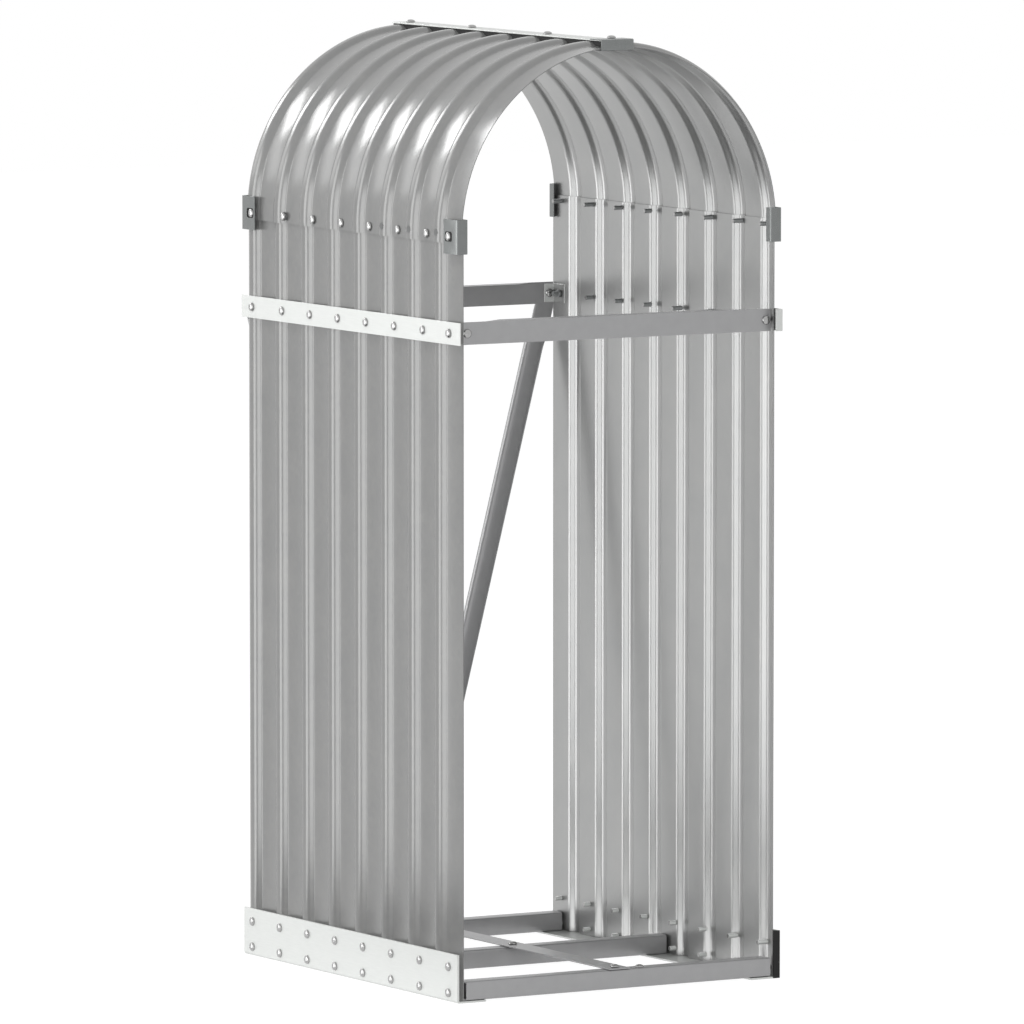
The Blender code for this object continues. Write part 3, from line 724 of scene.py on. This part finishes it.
for end in (FRONT, BACK):
    for side in (LEFT, RIGHT):
        corner = f"{END_NAMES[end]}_{SIDE_NAMES[side]}"
        low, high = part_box(corner + "_clip")
        plate_out, leg_in = (low.x, high.x) if side == LEFT else (high.x, low.x)
        web_out, plate_end = (low.y, high.y) if end == FRONT else (high.y, low.y)
        plate_in = plate_out - side * clip_thickness
        leg_out = leg_in + side * clip_thickness
        web_in = web_out - end * clip_thickness
        leg_end = web_out - end * clip_inner_leg
        inner_bend = clip_bend - clip_thickness
        outline = [(plate_out, plate_end)]
        outline += quarter_bend(plate_out, web_out, -side, -end, clip_bend, clip_bend_steps)
        outline += quarter_bend(leg_in, web_out, side, -end, clip_bend, clip_bend_steps)[::-1]
        outline += [(leg_in, leg_end), (leg_out, leg_end)]
        outline += quarter_bend(leg_out, web_in, side, -end, inner_bend, clip_bend_steps)
        outline += quarter_bend(plate_in, web_in, -side, -end, inner_bend, clip_bend_steps)[::-1]
        outline.append((plate_in, plate_end))
        name = corner + "_folded_clip"
        clip = new_object(name, loft_mesh(name, along_z(outline, low.z, high.z)))
        screw_node = f"{SIDE_NAMES[side]}_joint_screw_{1 if end == FRONT else joint_screws}"
        screw = middle(screw_node)
        near_end, far_end = sorted((screw.y + end * window_reach, screw.y - end * window_back))
        window_low = screw.z - window_half_height
        window_high = screw.z + window_half_height
        window = rounded_rectangle(near_end, far_end, window_low, window_high, window_corner)
        cut_out(clip, along_x(window, plate_out - window_cut, plate_out + window_cut))
        soften(clip, clip_edge, segments=1)
        finish_piece(clip, clip_steel, [corner + "_clip"])
        # The black pad behind the window paints the shade inside the clip.
        screw_low, screw_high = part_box(screw_node)
        on_flat = end == side      # at the other two clips the screw stands on a rib
        dome = (screw_low.x if side == LEFT else screw_high.x) + side * (rib_height if on_flat else 0)
        pad_face = dome - side * pad_drop
        pad_outline = rounded_rectangle(
            near_end + pad_margin, far_end - pad_margin, window_low + pad_margin, window_high - pad_margin,
            window_corner - pad_margin)
        name = corner + "_clip_shade_pad"
        pad_faces = sorted((pad_face, pad_face - side * pad_thickness))
        pad = new_object(name, loft_mesh(name, along_x(pad_outline, *pad_faces)))
        finish_piece(pad, black_shade_rubber)

# Plugs of grey rubber in the three spare holes of the left roof sheet, a little above the joint's screws;
# their dark grey is painted shade for the holes.
plug_radius = 0.0036
plug_sides = 20
plug_behind = 0.024            # about this far behind the screw, on the nearest rib
plug_above = 0.0027            # above the screw
plug_proud = 0.0002
plug_depth = 0.0006
grey_hole_shade_rubber = black_shade_rubber.copy()
grey_hole_shade_rubber.name = "moulded_grey_rubber"
grey_hole_shade_rubber.node_tree.nodes["Principled BSDF"].inputs["Base Color"].default_value = colour("6A6B6B")
crest = -roof_valley_radius - rib_height
for number in (1, 2, 3):
    screw = middle(f"left_joint_screw_{number}")
    wanted = screw.y + plug_behind - sheet_middle
    plug_y = sheet_middle + min(rib_centres(LEFT), key=lambda centre: abs(centre - wanted))
    plug_z = screw.z + plug_above
    disc = []
    for step in range(plug_sides):
        turn = 2 * math.pi * step / plug_sides
        disc.append((plug_y + plug_radius * math.cos(turn), plug_z + plug_radius * math.sin(turn)))
    name = f"spare_hole_plug_{number}"
    plug = new_object(name, loft_mesh(name, along_x(disc, crest - plug_proud, crest + plug_depth)))
    finish_piece(plug, grey_hole_shade_rubber)

# Black rubber seals under the crown bar, which fill the flats between the ribs of the roof sheets; their
# black is painted shade for the gaps under the bar.
hair_gap = 0.0001              # between two pieces that meet
seal_joint_gap = 0.0003        # middle of the joint to the seal
seal_inset = 0.0015            # edge of the bar to the seal
low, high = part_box("crown_bar")
crown_flat = arch_centre_height + roof_valley_radius
seal_top = low.z - hair_gap
for side in (LEFT, RIGHT):
    hollow = [(sheet_middle + y, crown_flat + lift) for y, lift, _ in sheet_profile(side)]
    outline = hollow + [(hollow[-1][0], seal_top), (hollow[0][0], seal_top)]
    name = SIDE_NAMES[side] + "_crown_shade_seal"
    seal_ends = sorted((side * seal_joint_gap, side * (high.x - seal_inset)))
    seal = new_object(name, loft_mesh(name, along_x(outline, *seal_ends)))
    finish_piece(seal, black_shade_rubber)

# At the right front corner the side bar ends in a light tab and the skirt in a black rubber cap, which
# cover the edge of the sheet. The cap's black is painted shade at the end of the skirt.
tab_thickness = 0.0012
tab_inset = 0.0060             # flats of the sheet to the tab's inner end
tab_clearance = 0.0002         # end of the cross bar to the tab
tab_lift = 0.0003
cross_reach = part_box("front_mid_bar")[1].x
tab_end = max(valley_reach - tab_inset, cross_reach + tab_clearance)
for node, name, inner_end, material, slot in (
        ("right_mid_bar", "right_bar_tab", tab_end, bright_zinc, "bright_zinc_bar"),
        ("right_base_skirt", "right_skirt_shade_cap", valley_reach, black_shade_rubber, "clip_steel")):
    low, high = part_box(node)
    outline = rectangle(inner_end, high.x, low.y - tab_thickness, low.y - hair_gap)
    tab = new_object(name, loft_mesh(name, along_z(outline, low.z + tab_lift, high.z)))
    finish_piece(tab, material)

# The crown clip hooks over the front end of the crown bar and the sheets under it.
crown_bend = 0.0015
crown_bend_middle = 0.0004     # corner to the middle of the bend, along both faces
crown_clip_edge = 0.0002
low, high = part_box("front_crown_clip")
web_in = low.y + clip_thickness
outline = [
    (high.y, high.z), (low.y + crown_bend, high.z),
    (low.y + crown_bend_middle, high.z - crown_bend_middle), (low.y, high.z - crown_bend),
    (low.y, low.z + crown_bend), (low.y + crown_bend_middle, low.z + crown_bend_middle),
    (low.y + crown_bend, low.z), (high.y, low.z),
    (high.y, low.z + clip_thickness), (web_in, low.z + clip_thickness),
    (web_in, high.z - clip_thickness), (high.y, high.z - clip_thickness)]
name = "front_folded_crown_clip"
clip = new_object(name, loft_mesh(name, along_x(outline, low.x, high.x)))
soften(clip, crown_clip_edge)
finish_piece(clip, clip_steel, ["front_crown_clip"])


# Braces
# Two steel tubes from the back corners of the mid ring down to the middle of the back rail, where their
# feet are bolted on one another. The ends are pressed flat and clipped at the corners; grey zinc.

brace_sides = 24
brace_width = 0.023
brace_depth = 0.010
brace_flat_thickness = 0.003
brace_tip = 0.008              # bolt to the end of the flat
brace_corner = 0.004           # bolt to where the flat's end narrows
brace_tip_width = 0.015
brace_top_flat = 0.040
brace_foot_flat = 0.075
brace_shoulder = 0.022         # length over which a flat grows into the tube
shoulder_steps = 6
flat_roundness = 0.35          # 1 is an oval, less is squarer
tube_roundness = 0.65
brace_gap = 0.0005             # sheet's edge to the front of the upper flats
foot_gap = 0.0003              # back rail to the right foot
foot_stagger = 0.0035          # the left foot lies behind the right one


def brace_section(top, foot, along, half_width, half_thickness, roundness):
    """One section of a brace, an oval whose front lies in the plane of the flats."""
    up = (top - foot).normalized()
    across = Vector((0, 1, 0)).cross(up).normalized()
    back = up.cross(across)
    section = []
    for index in range(brace_sides):
        turn = 2 * math.pi * (index + 0.5) / brace_sides
        wide = math.copysign(abs(math.cos(turn)) ** roundness, math.cos(turn))
        deep = math.copysign(abs(math.sin(turn)) ** roundness, math.sin(turn))
        section.append(
            foot + up * along + across * half_width * wide + back * half_thickness * (1 + deep))
    return section


brace_half_width = brace_width / 2
tip_half_width = brace_tip_width / 2
flat_half = brace_flat_thickness / 2
tube_half = brace_depth / 2


def shoulder(flat_length):
    """Sections from a flat into the tube: distance from the bolt, half sizes and roundness."""
    rows = []
    for step in range(shoulder_steps + 1):
        share = step / shoulder_steps
        ease = share * share * (3 - 2 * share)
        rows.append((
            flat_length + brace_shoulder * share, brace_half_width,
            flat_half + (tube_half - flat_half) * ease,
            flat_roundness + (tube_roundness - flat_roundness) * ease))
    return rows


ring_height = middle("back_right_corner_bolt").z
corner_reach = middle("back_right_corner_bolt").x
rail_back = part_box("back_base_rail")[1].y
foot_front = {RIGHT: rail_back + foot_gap, LEFT: rail_back + foot_gap + foot_stagger}
for side in (LEFT, RIGHT):
    top = Vector((side * corner_reach, panel_high.y + brace_gap, ring_height))
    foot = Vector((0, foot_front[side], middle("back_base_rail").z))
    span = (top - foot).length
    in_flat = (flat_half, flat_roundness)
    stations = [(-brace_tip, tip_half_width, *in_flat), (-brace_corner, brace_half_width, *in_flat)]
    stations += shoulder(brace_foot_flat)
    stations += [(span - along, *sizes) for along, *sizes in shoulder(brace_top_flat)[::-1]]
    stations += [
        (span + brace_corner, brace_half_width, *in_flat), (span + brace_tip, tip_half_width, *in_flat)]
    name = SIDE_NAMES[side] + "_tube_brace"
    brace = new_object(name, loft_mesh(name, [brace_section(top, foot, *station) for station in stations]))
    shade(brace.data, crease_degrees=50)
    finish_piece(brace, grey_zinc, [SIDE_NAMES[side] + "_brace"])


# Crown backing strip
# A plain strip under the joint of the roof sheets, seen only from inside. The crown bolts clamp the sheets
# between it and the crown bar. Grey, satin zinc.

flat_strip("crown_under_strip", "crown_backing_strip", grey_zinc)


# Bolts and screws
# Zinc-plated M5 fasteners with a plain domed head 9.5 mm across, pressed from wire, with a rolled thread of
# 0.8 mm pitch. The bolts of the mid ring, the crown and the braces' feet have a nut; the screws are driven
# into the sheets and rails.

# Bright zinc plate: nearly a mirror, with faint clouds of 2 mm.
bolt_steel = clouded_metal(
    "bright_plated_bolt_steel", "9E9E9E", "ACACAB", cloud_size=0.002, detail=3.0, metallic=1.0,
    roughness=0.17, roughest=0.24)

# Rims, threads and nuts, where rolling and cutting leave the plating duller; clouds of 1 mm.
thread_steel = clouded_metal(
    "dull_rolled_thread_steel", "868888", "949696", cloud_size=0.001, detail=3.0, metallic=0.8,
    roughness=0.38)

head_radius = 0.00475
head_height = 0.0028
head_rim = 0.0006
head_edge = 0.0001
dome_steps = 6
shank_radius = 0.0025
thread_depth = 0.0004
thread_pitch = 0.0008
thread_rings = 4                # rings of points for each turn of the thread
round_steps = 20
nut_across_flats = 0.008
nut_thickness = 0.004
nut_chamfer = 0.0006
fastener_meshes = {}


def fastener_mesh(length, nut_face):
    """Domed bolt along Z with its seat at zero, and its nut if the nut's face has a place."""
    key = (round(length, 5), nut_face and round(nut_face, 5))
    if key in fastener_meshes:
        return fastener_meshes[key]
    bm = bmesh.new()
    rows = []
    for step in range(1, dome_steps + 1):
        turn = math.pi / 2 * step / dome_steps
        rows.append((head_radius * math.sin(turn), head_rim + (head_height - head_rim) * math.cos(turn)))
    rows += [(head_radius, head_edge), (head_radius - head_edge, 0), (shank_radius, 0)]
    top = bm.verts.new((0, 0, head_height))
    rings = [[row] * round_steps for row in rows]
    thread_count = max(1, int(length / thread_pitch * thread_rings))
    for ring in range(1, thread_count + 1):
        height = -length * ring / thread_count
        line = []
        for index in range(round_steps):
            phase = (height / thread_pitch + index / round_steps) % 1
            groove = thread_depth * (1 - abs(2 * phase - 1))
            fade = min(1, (height + length) / thread_pitch)
            line.append((shank_radius - groove * fade - (1 - fade) * thread_depth, height))
        rings.append(line)
    loops = []
    for ring in rings:
        loop = []
        for index, (radius, height) in enumerate(ring):
            turn = 2 * math.pi * index / round_steps
            loop.append(bm.verts.new((radius * math.cos(turn), radius * math.sin(turn), height)))
        loops.append(loop)
    for index in range(round_steps):
        bm.faces.new((top, loops[0][index], loops[0][(index + 1) % round_steps]))
    for upper, lower in zip(loops, loops[1:]):
        for index in range(round_steps):
            after = (index + 1) % round_steps
            band = bm.faces.new((upper[index], lower[index], lower[after], upper[after]))
            band.material_index = 1 if upper[index].co.z < head_rim else 0
    bm.faces.new(loops[-1])
    if nut_face:
        corner = nut_across_flats / 2 / math.cos(math.pi / 6)
        levels = [
            (-nut_face, nut_across_flats / 2), (-nut_face - nut_chamfer, corner),
            (-nut_face - nut_thickness + nut_chamfer, corner),
            (-nut_face - nut_thickness, nut_across_flats / 2)]
        hexes = []
        for height, radius in levels:
            hexes.append([
                bm.verts.new((
                    radius * math.cos(math.pi / 3 * index), radius * math.sin(math.pi / 3 * index), height))
                for index in range(6)])
        for upper, lower in zip(hexes, hexes[1:]):
            for index in range(6):
                after = (index + 1) % 6
                bm.faces.new((upper[index], lower[index], lower[after], upper[after]))
        bm.faces.new(hexes[0])
        bm.faces.new(hexes[-1][::-1])
        for face in bm.faces:
            if face.calc_center_median().z < -nut_face:
                face.material_index = 1
    bmesh.ops.recalc_face_normals(bm, faces=bm.faces)
    mesh = bpy.data.meshes.new(f"domed_fastener_{len(fastener_meshes) + 1}")
    bm.to_mesh(mesh)
    bm.free()
    shade(mesh, crease_degrees=45)
    mesh.materials.append(bolt_steel)
    mesh.materials.append(thread_steel)
    fastener_meshes[key] = mesh
    return mesh


def place_fastener(name, seat, direction, length, nut_face=None, nodes=()):
    piece = new_object(name, fastener_mesh(length, nut_face))
    piece.location = seat
    piece.rotation_euler = Vector(direction).to_track_quat("Z", "Y").to_euler()
    return finish_piece(piece, bolt_steel, nodes)


def fastener_from_node(node, name, axis, sign, stickout=None, lift=0):
    """A fastener where the frame has it. Stickout is the thread past the nut, lift raises the head."""
    low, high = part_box(node)
    centre = (low + high) / 2
    direction = Vector((0, 0, 0))
    direction[axis] = sign
    top = high[axis] if sign > 0 else low[axis]
    length = high[axis] - low[axis] - head_height + lift
    seat = centre.copy()
    seat[axis] = top - sign * (head_height - lift)
    nut_face = None if stickout is None else length - stickout - nut_thickness
    return place_fastener(name, seat, direction, length, nut_face, [node])


X, Y, Z = range(3)
for side in (LEFT, RIGHT):
    for number in range(1, joint_screws + 1):
        on_pad = (side, number) in ((LEFT, 1), (RIGHT, joint_screws))   # over a flat, on the clip's pad
        fastener_from_node(
            f"{SIDE_NAMES[side]}_joint_screw_{number}", f"{SIDE_NAMES[side]}_lap_screw_{number}", X, side,
            lift=rib_height if on_pad else 0)
    for end in (FRONT, BACK):
        corner = f"{END_NAMES[end]}_{SIDE_NAMES[side]}"
        fastener_from_node(corner + "_ring_bolt", corner + "_side_bolt", X, side, stickout=0.0053)
        fastener_from_node(corner + "_corner_bolt", corner + "_lug_bolt", Y, -1, stickout=0.0004)
fastener_from_node("front_crown_screw", "front_top_screw", Z, 1)
for node in ("front_inner_crown_bolt", "back_inner_crown_bolt", "back_crown_bolt"):
    fastener_from_node(node, node.replace("crown", "top"), Z, 1, stickout=0.003)
for rail_name in ("front", "middle", "back"):
    fastener_from_node(rail_name + "_rail_screw", rail_name + "_strip_screw", Z, 1)
fastener_from_node("brace_foot_bolt", "foot_bolt", Y, 1, stickout=0.001)

# Screws that hold the side bars and the skirts to the ribs, and the second screw of the front rail. Rims
# and threads of the skirt screws take the skirts' light zinc, a painted glint on their shanks inside the
# rack.
sheet_screw_length = 0.016
skirt_screws = 8
skirt_screw_inset = 0.018      # sheet's edge to the first screw
skirt_screw_heights = {"upper": 0.0370, "lower": 0.0096}
rail_screw_length = 0.006
second_screw_x = 0.030
first = sheet_middle - half_depth + skirt_screw_inset
spacing = 2 * (half_depth - skirt_screw_inset) / (skirt_screws - 1)
for side in (LEFT, RIGHT):
    bar_low, bar_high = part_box(SIDE_NAMES[side] + "_mid_bar")
    skirt_low, skirt_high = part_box(SIDE_NAMES[side] + "_base_skirt")
    bar_face = bar_high.x if side == RIGHT else bar_low.x
    skirt_face = skirt_high.x if side == RIGHT else skirt_low.x
    for number in range(2, joint_screws):
        y = middle(f"{SIDE_NAMES[side]}_joint_screw_{number}").y
        place_fastener(
            f"{SIDE_NAMES[side]}_bar_screw_{number}", (bar_face, y, ring_height), (side, 0, 0),
            sheet_screw_length)
    for row, height in skirt_screw_heights.items():
        for number in range(1, skirt_screws + 1):
            screw = place_fastener(
                f"{SIDE_NAMES[side]}_{row}_skirt_screw_{number}",
                (skirt_face, first + spacing * (number - 1), height), (side, 0, 0), sheet_screw_length)
            thread_slot = screw.material_slots[1]
            thread_slot.link = "OBJECT"
            thread_slot.material = bright_zinc
rail_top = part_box("front_base_rail")[1].z
place_fastener(
    "second_front_rail_screw", (second_screw_x, middle("front_base_rail").y, rail_top), (0, 0, 1),
    rail_screw_length)

# The large softboxes shine past the left side, the cross bars, the braces, the corner angles and the floor.
for name in (
        "left_panel_sheet", "left_arch_sheet", "left_ring_strip", "left_skirt_plate", "front_cross_strip",
        "back_cross_strip", "left_tube_brace", "right_tube_brace", "studio_floor",
        "front_left_folded_angle", "front_right_folded_angle", "back_left_folded_angle",
        "back_right_folded_angle"):
    shone_past.objects.link(bpy.data.objects[name])
for held in shone_past.collection_objects:
    held.light_linking.link_state = "EXCLUDE"

low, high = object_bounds()
